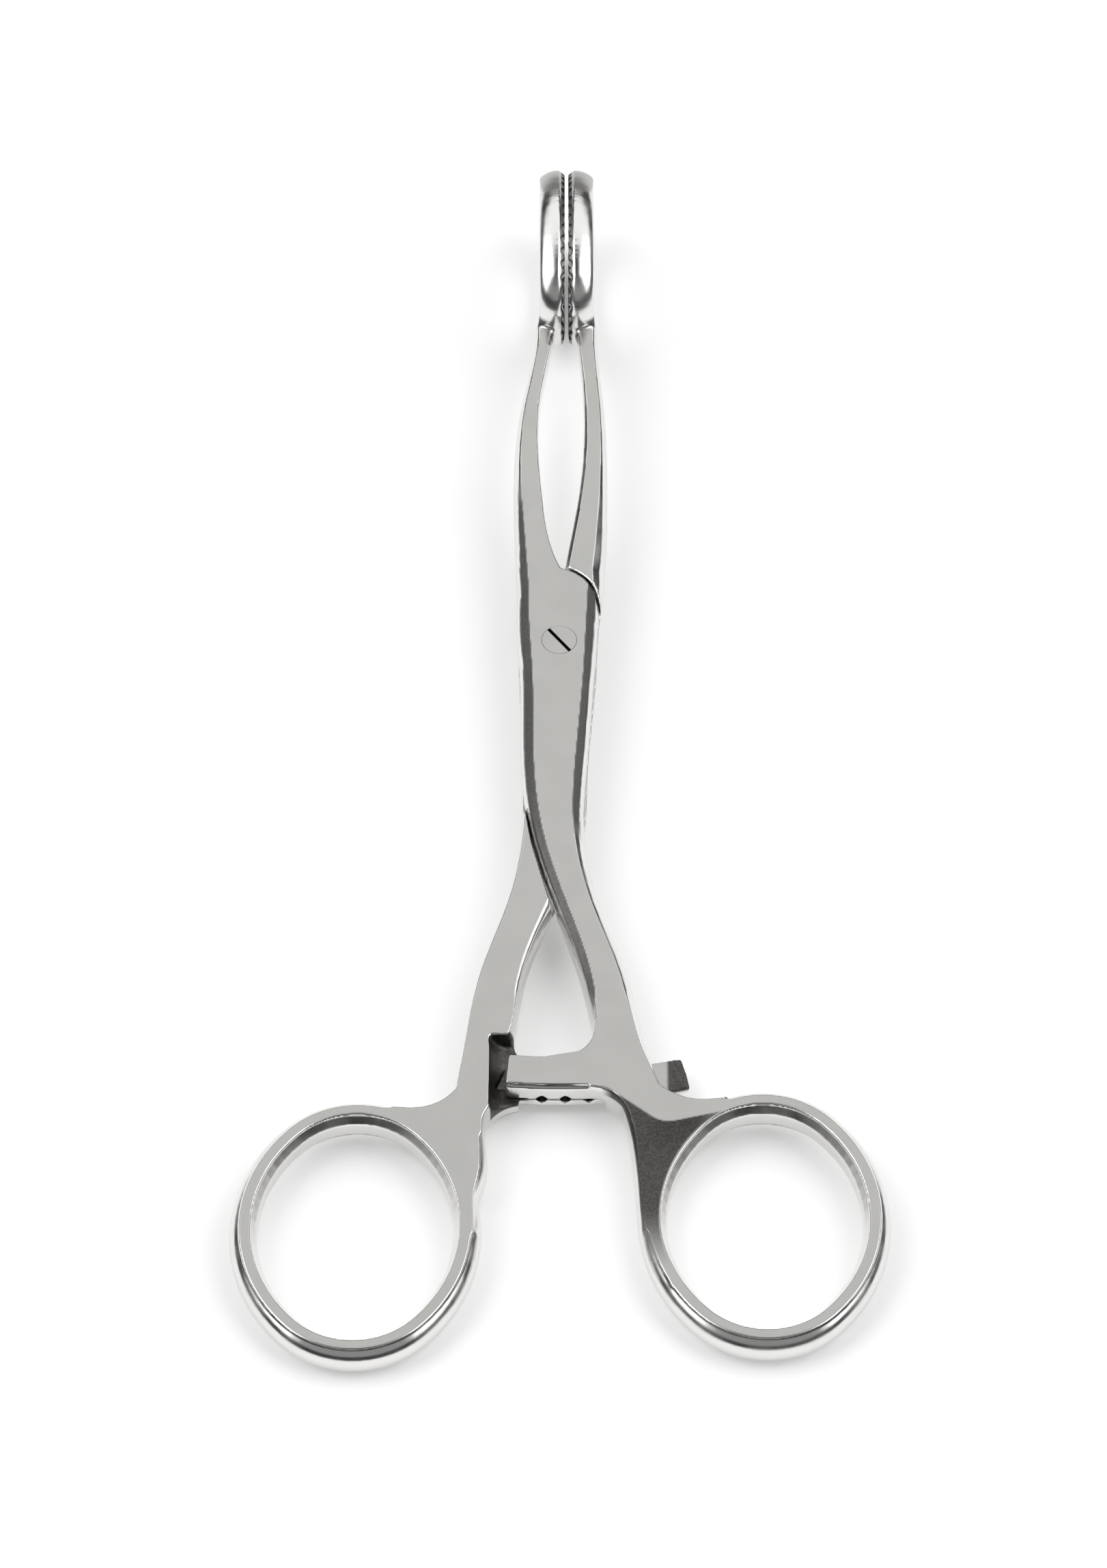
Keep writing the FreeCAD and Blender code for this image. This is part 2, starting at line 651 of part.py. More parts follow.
def make_fills(half):
    """The web between handle and ring, and the rounded corners on both sides of the arm's root."""
    slack = SIZES["fill_inset"]
    web_half = SIZES["ring_half_thick"] - slack
    stack = SIZES["arm_half_stack"] - slack
    split = SIZES["arm_split"]
    fork = (split, stack) if half == "upper" else (-stack, split - SIZES["arm_tip_gap"])
    levels = {"web": (-web_half, web_half), "heel": (-web_half, web_half), "fork": fork}
    fills = []
    for name, (low, high) in levels.items():
        corners, on_arc = FILLS[f"{half}_{name}"]
        points = [(cell(f"{half}_{name}_{n}_x"), cell(f"{half}_{name}_{n}_y")) for n in range(len(corners))]
        outline = closed_sketch(f"{half}_{name}_outline", Placement(Vector(), FLAT), points, {0: on_arc})
        bind(outline, {"Placement.Base.z": as_rule(low)})
        fills.append(extrusion(f"{half}_{name}", outline, Vector(0, 0, 1), as_rule(high - low)))
    return fills


def arm_slot(half):
    """Room in a handle for the other half's arm."""
    gap = SIZES["arm_slot_gap"]
    split = SIZES["arm_split"]
    inner = cell("arm_inner_radius") - gap
    outer = cell("arm_outer_radius") + gap
    if half == "upper":
        left = -SIZES["slot_reach_left"]
        right = SIZES["slot_reach_right"]
        return annulus("upper_arm_slot", inner, outer, left, right, -SIZES["slot_deep"], split)
    floor = split - SIZES["arm_tip_gap"]
    run = SIZES["step_far_y"] - SIZES["step_near_y"]
    centre = Vector(SIZES["step_centre_x"], SIZES["step_near_y"], floor + SIZES["step_radius"])
    scoop = cylinder("lower_step_scoop", cell("step_radius"), centre, Vector(0, 1, 0), as_rule(run))
    clear = doc.addObject("Part::Box", "lower_step_clear")
    bind(clear, {"Length": as_rule(FAR), "Width": as_rule(run), "Height": as_rule(FAR)})
    clear.Placement = Placement(Vector(SIZES["step_centre_x"], SIZES["step_near_y"], floor), FLAT)
    return fuse("lower_arm_slot", [scoop, clear])


# ---------------------------------------------------------------------------------------------
# Halves
# ---------------------------------------------------------------------------------------------
def make_half(half, side):
    """One forging. side is -1 for the upper half, with the left jaw, and +1 for the lower half."""
    shank, handle = make_bars(half)
    pocket = pocket_tool(half, side)
    shank = cut(f"{half}_shank_lapped", shank, pocket)
    plate = cut(f"{half}_plate", handle, corner_tool(half, side))
    plate = cut(f"{half}_plate_lapped", plate, pocket)
    for number, bore in enumerate(screw_bore(half)):
        plate = cut(f"{half}_plate_bored_{number}", plate, bore)
    foot = join(f"{half}_foot", [plate] + make_fills(half))
    foot = cut(f"{half}_foot_slotted", foot, arm_slot(half))
    return join(f"{half}_half", [foot, make_ring(half), make_arm(half), shank, make_jaw(half, side)])


fill_sheet()
upper = make_half("upper", -1)
lower = make_half("lower", 1)
screw = make_screw()
doc.recompute()
parts = [upper, lower, screw]

for item in doc.Objects:
    if "Invalid" in item.State or "Error" in item.State:
        raise RuntimeError(f"{item.Name} failed: {item.State}")


def lowest(shapes, beyond):
    """The lowest point of some shapes, on the jaw side or on the ring side of the screw."""
    points = [point for shape in shapes for point in shape.tessellate(FINENESS)[0]]
    return min((point for point in points if point.y * beyond > 0), key=lambda point: point.z)


def resting_place(shapes):
    """The tilt and lift that lay the forceps on its jaw loops and its finger rings."""
    tilt = Placement()
    for _ in range(SETTLINGS):
        moved = [shape.copy() for shape in shapes]
        for shape in moved:
            shape.Placement = tilt
        jaw = lowest(moved, 1)
        ring = lowest(moved, -1)
        correction = math.degrees(math.atan2(ring.z - jaw.z, jaw.y - ring.y))
        tilt = Placement(Vector(), Rotation(Vector(1, 0, 0), correction)).multiply(tilt)
    return tilt


tilt = resting_place([part.Shape for part in parts])
for part in parts:
    part.Placement = tilt
points = [point for part in parts for point in part.Shape.tessellate(FINENESS)[0]]
middle_x = (min(point.x for point in points) + max(point.x for point in points)) / 2
middle_y = (min(point.y for point in points) + max(point.y for point in points)) / 2
floor = min(point.z for point in points)
rest = Placement(Vector(-middle_x, -middle_y, -floor), FLAT).multiply(tilt)

os.makedirs("parts", exist_ok=True)
for part, label in ((upper, "upper_half"), (lower, "lower_half"), (screw, "pivot_screw")):
    part.Label = label
    part.Placement = rest
    shape = part.Shape
    if shape.isNull() or not shape.isValid():
        raise RuntimeError(f"{label} has no valid shape")
    shape.exportStep(f"parts/{label}.step")
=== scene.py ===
import json
import math

import bmesh
import bpy
import numpy as np
from mathutils import Matrix, Vector


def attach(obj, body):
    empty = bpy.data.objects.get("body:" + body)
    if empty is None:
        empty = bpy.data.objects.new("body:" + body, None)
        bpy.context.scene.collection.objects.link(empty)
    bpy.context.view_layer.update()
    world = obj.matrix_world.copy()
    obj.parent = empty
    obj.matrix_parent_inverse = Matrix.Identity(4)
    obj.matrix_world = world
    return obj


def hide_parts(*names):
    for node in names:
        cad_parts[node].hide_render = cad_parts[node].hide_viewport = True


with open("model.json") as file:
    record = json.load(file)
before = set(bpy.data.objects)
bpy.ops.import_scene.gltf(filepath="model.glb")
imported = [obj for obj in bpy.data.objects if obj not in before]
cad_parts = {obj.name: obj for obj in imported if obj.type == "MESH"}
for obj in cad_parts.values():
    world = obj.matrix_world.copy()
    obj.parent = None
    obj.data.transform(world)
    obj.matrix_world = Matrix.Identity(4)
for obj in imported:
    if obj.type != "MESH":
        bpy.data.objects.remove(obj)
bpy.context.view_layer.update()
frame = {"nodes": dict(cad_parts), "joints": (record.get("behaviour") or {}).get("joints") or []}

# ---------------------------------------------------------------------------------------------
# The forceps' own frame: the screw's axis is UP, ALONG points to the jaws, and ACROSS is the scene's X.
# Shapes are worked on in this frame, as X, Y and Z in millimetres from the pivot, and MM turns them into
# the scene's metres. A band, (low, high), is where a smooth step rises from 0 to 1.
# ---------------------------------------------------------------------------------------------
MM = 0.001
HINGE = frame["joints"][0]
PIVOT = Vector(HINGE["pos_m"])
UP = Vector(HINGE["axis"]).normalized()
ACROSS = Vector((1, 0, 0))
ALONG = UP.cross(ACROSS)
AXES = np.array([ACROSS, ALONG, UP])

# The camera looks at a point between the joint and the rings, from this angle above the forceps' plane. Its
# distance is in millimetres, and its clipping is in metres.
CAMERA_TARGET = Vector((-0.67, -19.66, 0.0))
CAMERA_ELEVATION = math.radians(53.2)
CAMERA_DISTANCE = 720.0
CAMERA_LENS = 141.65
CAMERA_SENSOR = 36.0
CAMERA_CLIP = (0.01, 50)

# The floor: half its side in metres, its white, and how much it glows
FLOOR_REACH = 6.0
FLOOR_COLOUR = (0.93, 0.93, 0.93, 1)
FLOOR_GLOW = 0.22

# The studio: how bright each part of it shines, and how bright the camera sees it past the floor
BACK_GLOW = 1.12
SIDE_GLOW = 2.60
FRONT_GLOW = 0.30
OVERHEAD_GLOW = 0.06
HORIZON_GLOW = 0.03
SEEN_GLOW = 1.0
# Where its parts begin and end. The leans are degrees up from the back's horizon and over to the front. The
# others are shares of a direction: a rise is how much of it points up, and a turn is how much of its level
# part points sideways.
BACK_LEAN = (66.0, 82.0)
FRONT_LEAN = (105.0, 140.0)
HORIZON_RISE = (0.33, 0.46)
FLANK_RISE = (0.90, 0.98)
FLANK_TURN = (0.80, 0.95)

# The steel's textures: each one's waves to the metre, and how much finer detail it has on top of them
GRAIN = (5000.0, 2.0)
SPECKLE = (3500.0, 3.0)
WEAR = (250.0, 2.0)
# How deep the grain is in metres, how strong, and how much of it the flats have
GRAIN_DEPTH = 0.00001
GRAIN_STRENGTH = 0.35
GRAIN_ON_FLATS = 0.5
# The steel counts as flat where this much of its normal points up or down.
FLAT_FACING = (0.90, 0.96)
# Colours and roughness of its three finishes: polished, satin and coarse, whose dark colours are painted shade
# and painted dark reflection. Wear varies the first two, and speckles the third.
POLISHED_COLOUR = (0.78, 0.775, 0.765, 1.0)
SATIN_COLOUR = (0.48, 0.475, 0.46, 1.0)
COARSE_SHADE_COLOURS = ((0.075, 0.073, 0.071, 1.0), (0.115, 0.112, 0.108, 1.0))
POLISHED_ROUGHNESS = (0.17, 0.27)
SATIN_ROUGHNESS = (0.31, 0.37)
COARSE_ROUGHNESS = 0.42
WEAR_BAND = (0.3, 0.7)
SPECKLE_BAND = (0.35, 0.70)
# The screw slot's painted shade: a dark colour, and its roughness
SLOT_SHADE_COLOUR = (0.045, 0.043, 0.04, 1)
SLOT_SHADE_ROUGHNESS = 0.6

# Remeshing: the size of a voxel, how far one smoothing goes, how often the whole skin is smoothed, how often
# its soft places are, and into how many levels their weights are rounded
VOXEL = 0.15
SMOOTH_FACTOR = 0.5
SMOOTHINGS = 3
SOFT_SMOOTHINGS = 40
WEIGHT_LEVELS = 10

# The joint: its plate's top, the radius of the screw's head, and the slot's floor and margin inside the head
PLATE_TOP = 2.2
SCREW_HEAD = 2.05
SLOT_FLOOR = 1.5
SLOT_MARGIN = 0.05

# The X at which the jaws meet
JAW_MIDDLE = 0.95

# The finger rings' oval holes: half their width and length, where they are, and the width of their bevel
RING_HOLE = (10.9, 14.1)
RING_CENTRE = {"upper": (22.75, -80.7), "lower": (-22.6, -82.1)}
RING_BEVEL = 0.85

# The flat foot that joins handle, arm and ring: the corners of its outline, each with the radius that rounds
# it. The ring's own edge closes the outline, from the first angle about the ring's centre to the second.
FOOT_CORNERS = {
    "upper": [(19.5, -65.5, 0), (9.5, -65.5, 4.5), (7.5, -52, 0), (5, -52, 0), (4, -58.5, 2),
              (-1.5, -59.5, 0), (-1.5, -63, 0), (8.5, -63.5, 3), (9, -80, 6), (12.5, -90, 0)],
    "lower": [(-19.5, -66.5, 0), (-10.5, -66.5, 4.5), (-9.5, -54, 0), (-8.5, -54, 0), (-8.5, -66, 1),
              (-9.5, -68, 2), (-9.5, -82, 6), (-12.5, -91, 0)],
}
FOOT_ANGLES = {"upper": (215, 98), "lower": (-35, 82)}
# The flat tops are level with each other at this height above the lap, and the flats below are as deep. The
# upper half's foot is filled from just above the lap, and the lower half's through its whole thickness.
FLAT_LEVEL = 2.15
FOOT_BOTTOM = {"upper": 0.2, "lower": -FLAT_LEVEL}
# How many pieces an arc of an outline has, and how many the ring's edge
ARC_STEPS = 10
EDGE_STEPS = 24

# Ironing: from this far down the handles, flats that are already this near to the level are brought to it.
# The plate's rim, this wide round the screw and no deeper than this, is brought to the plate's top.
IRON_FROM = (50.0, 54.0)
IRON_GAP = (0.10, 0.25)
RIM_WIDTH = 0.6
RIM_DEPTH = 0.4

# Softening: the foot from this far down the handles and from this far outside the ring's hole, the jaws' root
# about its Y, their crown from this Y and this far outside their middle, and single corners
SOFT_FOOT = (64.0, 68.0)
SOFT_RING_GAP = (1.4, 2.2)
JAW_ROOT = 50.0
ROOT_REACH = 2.0
ROOT_FADE = 2.0
SOFT_CROWN = (47.0, 50.0)
CROWN_SIDE = (0.9, 1.4)
# Corners that are rounded: both sides of the upper arm's root, where the webs meet the rings, the milled
# step's far end, the corners of the lower arm's end, and the lower handle's inner wall
ROUND_CORNERS = {
    "upper": [(6.5, -64), (5, -63.5), (4, -53.5), (18.5, -64.5)],
    "lower": [(-8, -56.5), (-5, -56.5), (14.8, -58.3), (14.8, -62), (-18.5, -65.5), (-8.5, -76), (-9, -79)],
}
CORNER_REACH = 0.6
CORNER_FADE = 1.4

# The facet beside the right ring is ground away below this line, which bends once, over the ring's shoulder.
FACET_CORNERS = [(4.5, -63, 0), (11.5, -68.5, 3), (22, -66, 0)]
FACET_SLOPE = 0.20
FACET_DROP = 0.75
# Its slope starts at the arm's X, ends at the limb's and fades down to the toe's Y.
FACET_ARM = (5.0, 7.5)
FACET_LIMB = (15.0, 21.0)
FACET_TOE = (-89.0, -79.0)
# Its coarse finish, a painted dark reflection, starts at the line and at this X, outside the ring's bevel and
# above the side.
FACET_EDGE = (-0.02, 0.10)
FACET_SHADE_X = (4.6, 6.0)
FACET_RING_GAP = (0.75, 0.95)
FACET_HEIGHT = (0.9, 1.2)

# The lower half's boxes of coarse finish and painted shade, in the milled step and at the arm's end: for X, Y
# and Z, the band where it starts and the one where it ends, or None where the arm's end does that
MILLED_STEP = [((-8.4, -8.1), (-4.0, -3.0)), ((-66.4, -66.1), (-56.2, -55.9)), ((-1.0, -0.7), (1.95, 2.1))]
ARM_END = [((12.0, 12.4), None), ((-64.5, -64.0), (-57.0, -56.5)), ((-1.2, -0.8), (0.0, 0.2))]

# The upper half's coarse bevels, darkened with painted dark reflection: how much they face up and to one side,
# from which height, how far along each side of the flat they run, and how coarse and dark they are
BEVEL_UP = ((0.55, 0.65), (0.92, 0.96))
BEVEL_SIDE = (0.25, 0.35)
BEVEL_HEIGHT = (1.0, 1.3)
LEFT_BEVEL = ((-56.0, -50.0), (20.0, 26.0))
RIGHT_BEVEL = ((-30.0, -26.0), (9.0, 11.0))
BEVEL_SHADE = 0.9

# The jaws' marks: polish from this Y, but for the satin tip, which faces forward; the teeth's painted shade,
# this near to the middle; and the dark cap across the root, a painted dark reflection
JAW_POLISH = (50.5, 52.0)
TIP_FACING = (0.22, 0.28)
TIP_START = (64.0, 65.0)
TEETH_START = (48.0, 49.0)
TEETH_SIDE = (0.62, 0.74)
TEETH_SHADE = 0.8
CAP_ALONG = ((49.6, 49.9), (50.5, 51.0))
CAP_HEIGHT = ((0.9, 1.2), (1.9, 2.6))


def to_scene(point):
    """A point of the forceps' frame (mm) as a point of the scene (m)."""
    return PIVOT + (ACROSS * point[0] + ALONG * point[1] + UP * point[2]) * MM


def points_to_plane(points):
    """An array of points of the scene (m) as points of the forceps' frame (mm)."""
    return (points - np.array(PIVOT)) / MM @ AXES.T


def points_to_scene(points):
    return points @ AXES * MM + np.array(PIVOT)


def read_vectors(items, name):
    """One vector of each item, such as "co" or "normal" of a mesh's vertices, as rows of an array."""
    vectors = np.zeros(len(items) * 3)
    items.foreach_get(name, vectors)
    return vectors.reshape(-1, 3)


def write_points(mesh, points):
    mesh.vertices.foreach_set("co", points.astype(np.float32).reshape(-1))
    mesh.update()


def step(value, low, high):
    """A smooth step from 0 at low to 1 at high, for numbers and arrays."""
    t = np.clip((value - low) / (high - low), 0, 1)
    return t * t * (3 - 2 * t)


def between(value, start, end):
    """1 from one band to another, and 0 outside them; without an end it goes on."""
    share = step(value, *start)
    return share if end is None else share * (1 - step(value, *end))


# ---------------------------------------------------------------------------------------------
# Camera, floor and light
# ---------------------------------------------------------------------------------------------
def make_camera():
    camera = bpy.data.objects.new("camera", bpy.data.cameras.new("camera"))
    bpy.context.scene.collection.objects.link(camera)
    back = UP * math.sin(CAMERA_ELEVATION) - ALONG * math.cos(CAMERA_ELEVATION)
    camera.location = to_scene(CAMERA_TARGET) + back * CAMERA_DISTANCE * MM
    camera.rotation_euler = back.to_track_quat("Z", "Y").to_euler()
    camera.data.lens = CAMERA_LENS
    camera.data.sensor_width = CAMERA_SENSOR
    camera.data.clip_start, camera.data.clip_end = CAMERA_CLIP
    bpy.context.scene.camera = camera
    bpy.context.scene.view_settings.view_transform = "Standard"


def make_floor():
    corners = [(x * FLOOR_REACH, y * FLOOR_REACH, 0) for x, y in ((-1, -1), (1, -1), (1, 1), (-1, 1))]
    mesh = bpy.data.meshes.new("floor")
    mesh.from_pydata(corners, [], [(0, 1, 2, 3)])
    floor = bpy.data.objects.new("floor", mesh)
    bpy.context.scene.collection.objects.link(floor)
    material = bpy.data.materials.new("floor_white")
    material.use_nodes = True
    shader = material.node_tree.nodes["Principled BSDF"]
    shader.inputs["Base Color"].default_value = FLOOR_COLOUR
    shader.inputs["Roughness"].default_value = 1.0
    shader.inputs["Specular IOR Level"].default_value = 0.0
    shader.inputs["Emission Color"].default_value = (1, 1, 1, 1)
    shader.inputs["Emission Strength"].default_value = FLOOR_GLOW
    mesh.materials.append(material)


class Nodes:
    """Short ways to add and link the nodes of one tree. Sockets whose names repeat are told by number."""

    def __init__(self, tree):
        self.tree = tree

    def add(self, kind, inputs=None, **settings):
        node = self.tree.nodes.new(kind)
        for name, value in settings.items():
            setattr(node, name, value)
        for key, value in (inputs or {}).items():
            self.feed(node.inputs[key], value)
        return node

    def feed(self, socket, value):
        if isinstance(value, bpy.types.NodeSocket):
            self.tree.links.new(value, socket)
        else:
            socket.default_value = value

    def math(self, operation, *values, clamp=False):
        node = self.add("ShaderNodeMath", dict(enumerate(values)), operation=operation, use_clamp=clamp)
        return node.outputs[0]

    def ramp(self, value, band, start=0.0, end=1.0):
        """A smooth ramp from start, where value is at the band's low, to end, where it is at its high."""
        low, high = band
        inputs = {"Value": value, "From Min": low, "From Max": high, "To Min": start, "To Max": end}
        return self.add("ShaderNodeMapRange", inputs, interpolation_type="SMOOTHSTEP").outputs[0]

    def mix(self, factor, first, second):
        """first where factor is 0 and second where it is 1, for numbers."""
        return self.add("ShaderNodeMix", {0: factor, 2: first, 3: second}, data_type="FLOAT").outputs[0]

    def blend(self, factor, first, second):
        """The same for colours."""
        return self.add("ShaderNodeMix", {0: factor, 6: first, 7: second}, data_type="RGBA").outputs[2]

    def noise(self, place, scale, detail):
        """Fine mottling about 0.5, at so many waves to the metre."""
        return self.add("ShaderNodeTexNoise", {"Vector": place, "Scale": scale, "Detail": detail}).outputs[0]

    def painted(self, name):
        """A finish's share, which is painted on the mesh."""
        return self.add("ShaderNodeAttribute", attribute_name=name).outputs["Fac"]


def make_world():
    """A studio: bright soft boxes behind and at both sides, dark above the camera and along the horizon."""
    world = bpy.data.worlds.new("studio")
    bpy.context.scene.world = world
    world.use_nodes = True
    world.node_tree.nodes.clear()
    kit = Nodes(world.node_tree)
    direction = kit.add("ShaderNodeTexCoord").outputs["Generated"]
    x, y, z = kit.add("ShaderNodeSeparateXYZ", {0: direction}).outputs
    level = kit.math("SQRT", kit.math("ADD", kit.math("MULTIPLY", x, x), kit.math("MULTIPLY", y, y)))
    sideways = kit.math("DIVIDE", kit.math("ABSOLUTE", x), level)
    lean = kit.math("DEGREES", kit.math("ARCTAN2", z, y))
    back = kit.ramp(lean, BACK_LEAN, BACK_GLOW, OVERHEAD_GLOW)
    back = kit.mix(kit.ramp(lean, FRONT_LEAN), back, FRONT_GLOW)
    flank = kit.ramp(z, FLANK_RISE, SIDE_GLOW, OVERHEAD_GLOW)
    glow = kit.mix(kit.ramp(sideways, FLANK_TURN), back, flank)
    strength = kit.mix(kit.ramp(z, HORIZON_RISE), HORIZON_GLOW, glow)
    seen = kit.add("ShaderNodeLightPath").outputs["Is Camera Ray"]
    strength = kit.mix(seen, strength, SEEN_GLOW)
    background = kit.add("ShaderNodeBackground", {"Strength": strength, "Color": (1.0, 1.0, 1.0, 1.0)})
    kit.add("ShaderNodeOutputWorld", {"Surface": background.outputs[0]})


# ---------------------------------------------------------------------------------------------
# Materials
# ---------------------------------------------------------------------------------------------
def make_steel(name):
    """Ground stainless steel: satin where it is flat, polished elsewhere, and coarse where painted so, in dark
    speckled colours that are painted shade and painted dark reflection.
    """
    material = bpy.data.materials.new(name)
    material.use_nodes = True
    kit = Nodes(material.node_tree)
    shader = material.node_tree.nodes["Principled BSDF"]
    places = kit.add("ShaderNodeTexCoord")
    sides = {0: places.outputs["Normal"], 1: tuple(UP)}
    facing = kit.add("ShaderNodeVectorMath", sides, operation="DOT_PRODUCT").outputs["Value"]
    level = kit.ramp(kit.math("ABSOLUTE", facing), FLAT_FACING)
    flat = kit.mix(kit.painted("satin"), kit.mix(kit.painted("polished"), level, 0.0), 1.0)
    coarse_and_shade = kit.painted("coarse_and_shade")
    grain = kit.noise(places.outputs["Object"], *GRAIN)
    speckle = kit.ramp(kit.noise(places.outputs["Object"], *SPECKLE), SPECKLE_BAND)
    wear = kit.noise(places.outputs["Object"], *WEAR)
    polished = kit.ramp(wear, WEAR_BAND, *POLISHED_ROUGHNESS)
    satin = kit.ramp(wear, WEAR_BAND, *SATIN_ROUGHNESS)
    roughness = kit.mix(coarse_and_shade, kit.mix(flat, polished, satin), COARSE_ROUGHNESS)
    colour = kit.blend(flat, POLISHED_COLOUR, SATIN_COLOUR)
    # The coarse finish's dark, speckled colour: painted shade and painted dark reflection
    dark = kit.blend(speckle, *COARSE_SHADE_COLOURS)
    rough_share = kit.math("ADD", kit.math("MULTIPLY", flat, GRAIN_ON_FLATS), coarse_and_shade, clamp=True)
    height = kit.math("MULTIPLY", grain, rough_share)
    grained = {"Strength": GRAIN_STRENGTH, "Distance": GRAIN_DEPTH, "Height": height}
    kit.feed(shader.inputs["Base Color"], kit.blend(coarse_and_shade, colour, dark))
    kit.feed(shader.inputs["Roughness"], roughness)
    kit.feed(shader.inputs["Normal"], kit.add("ShaderNodeBump", grained).outputs[0])
    shader.inputs["Metallic"].default_value = 1
    return material


def make_shadow(name):
    """Painted shade on the floor and walls of the screw's slot."""
    material = bpy.data.materials.new(name)
    material.use_nodes = True
    shader = material.node_tree.nodes["Principled BSDF"]
    shader.inputs["Base Color"].default_value = SLOT_SHADE_COLOUR
    shader.inputs["Roughness"].default_value = SLOT_SHADE_ROUGHNESS
    shader.inputs["Metallic"].default_value = 1
    return material


# ---------------------------------------------------------------------------------------------
# Outlines, places and distances
# ---------------------------------------------------------------------------------------------
def ring_point(half, offset, degrees):
    """A point beside the finger ring's oval hole, at an angle about the ring's centre."""
    turn = math.radians(degrees)
    x, y = RING_CENTRE[half]
    return x + (RING_HOLE[0] + offset) * math.cos(turn), y + (RING_HOLE[1] + offset) * math.sin(turn)


def rounded(corners):
    """The points of a line through corners, each (x, y, radius), that are rounded by arcs."""
    line = []
    for index, (x, y, radius) in enumerate(corners):
        if radius == 0:
            line.append((x, y))
            continue
        corner = Vector((x, y))
        before = (Vector(corners[index - 1][:2]) - corner).normalized()
        after = (Vector(corners[index + 1][:2]) - corner).normalized()
        half_angle = before.angle(after) / 2
        centre = corner + (before + after).normalized() * radius / math.sin(half_angle)
        first = corner + before * radius / math.tan(half_angle) - centre
        sweep = first.angle_signed(corner + after * radius / math.tan(half_angle) - centre)
        for number in range(ARC_STEPS + 1):
            turned = Matrix.Rotation(-sweep * number / ARC_STEPS, 2) @ first
            line.append(tuple(centre + turned))
    return line


def foot_outline(half):
    start, end = FOOT_ANGLES[half]
    angles = [start + (end - start) * number / EDGE_STEPS for number in range(EDGE_STEPS + 1)]
    return rounded(FOOT_CORNERS[half]) + [ring_point(half, RING_BEVEL, angle) for angle in angles]


def path_distance(points, path):
    """Distance of each point from a path in the XY plane, positive to the right of the way it runs."""
    best = np.full(len(points), np.inf)
    side = np.ones(len(points))
    for start, end in zip(np.array(path[:-1]), np.array(path[1:])):
        run = end - start
        away = points[:, :2] - start
        share = np.clip(away @ run / (run @ run), 0, 1)
        gap = np.linalg.norm(away - share[:, None] * run, axis=1)
        turn = away[:, 1] * run[0] - away[:, 0] * run[1]
        nearer = gap < best
        best[nearer] = gap[nearer]
        side[nearer] = np.where(turn[nearer] < 0, 1.0, -1.0)
    return best * side


def oval_gap(points, half):
    """About how far each point is outside the finger ring's hole. No point is at the hole's centre."""
    x, y = RING_CENTRE[half]
    across = (points[:, 0] - x) / RING_HOLE[0]
    along = (points[:, 1] - y) / RING_HOLE[1]
    size = np.sqrt(across ** 2 + along ** 2)
    radius = np.hypot(points[:, 0] - x, points[:, 1] - y)
    return radius - radius / size


def near(points, centre, reach, fade):
    """1 within reach of a centre, given as (x, y) with None for any, and 0 beyond reach plus fade."""
    square = np.zeros(len(points))
    for axis, value in enumerate(centre):
        if value is not None:
            square += (points[:, axis] - value) ** 2
    return 1 - step(np.sqrt(square), reach, reach + fade)


def in_box(points, box):
    """1 inside a box, which gives the bands where it starts and ends on each axis."""
    shares = [between(points[:, axis], start, end) for axis, (start, end) in enumerate(box)]
    return np.prod(shares, axis=0)


# ---------------------------------------------------------------------------------------------
# Shapes
# ---------------------------------------------------------------------------------------------
def add_prism(mesh, outline, low, high):
    """Add a closed prism to a mesh in millimetres; the remesh joins it to what it overlaps."""
    work = bmesh.new()
    work.from_mesh(mesh)
    floor = [work.verts.new((x, y, low)) for x, y in outline]
    face = work.faces.new(floor)
    grown = bmesh.ops.extrude_face_region(work, geom=[face])["geom"]
    moved = [item for item in grown if isinstance(item, bmesh.types.BMVert)]
    bmesh.ops.translate(work, verts=moved, vec=(0, 0, high - low))
    made = [face] + [item for item in grown if isinstance(item, bmesh.types.BMFace)]
    made += [side for vert in floor for side in vert.link_faces]
    bmesh.ops.recalc_face_normals(work, faces=list(set(made)))
    work.to_mesh(mesh)
    work.free()


def apply_modifiers(piece):
    graph = bpy.context.evaluated_depsgraph_get()
    done = bpy.data.meshes.new_from_object(piece.evaluated_get(graph))
    old = piece.data
    piece.modifiers.clear()
    piece.data = done
    bpy.data.meshes.remove(old)


def add_smoothing(piece, smoothings, group=""):
    """Smooth a piece so many times, all over or by the weights of one of its vertex groups."""
    soften = piece.modifiers.new("soften", "SMOOTH")
    soften.factor = SMOOTH_FACTOR
    soften.iterations = smoothings
    soften.vertex_group = group


def remesh(piece):
    """Rebuild a piece, whose mesh is in millimetres, as an even skin with softly rounded edges."""
    skin = piece.modifiers.new("skin", "REMESH")
    skin.mode = "VOXEL"
    skin.voxel_size = VOXEL
    add_smoothing(piece, SMOOTHINGS)
    apply_modifiers(piece)


def soften_where(piece, weights):
    """Smooth a piece where its points' weights, from 0 to 1, say so."""
    group = piece.vertex_groups.new(name="soft")
    levels = np.rint(weights * WEIGHT_LEVELS).astype(int)
    for level in range(1, WEIGHT_LEVELS + 1):
        chosen = np.nonzero(levels == level)[0].tolist()
        if chosen:
            group.add(chosen, level / WEIGHT_LEVELS, "REPLACE")
    add_smoothing(piece, SOFT_SMOOTHINGS, group.name)
    apply_modifiers(piece)
    piece.vertex_groups.clear()


def soft_places(points, half):
    """Where a forging's shapes run softly into each other: ring, jaw and arm roots, and rounded corners."""
    foot = step(-points[:, 1], *SOFT_FOOT) * step(oval_gap(points, half), *SOFT_RING_GAP)
    root = near(points, (None, JAW_ROOT), ROOT_REACH, ROOT_FADE)
    crown = step(points[:, 1], *SOFT_CROWN) * step(np.abs(points[:, 0] - JAW_MIDDLE), *CROWN_SIDE)
    corners = [near(points, place, CORNER_REACH, CORNER_FADE) for place in ROUND_CORNERS[half]]
    return np.max([foot, root, crown] + corners, axis=0)


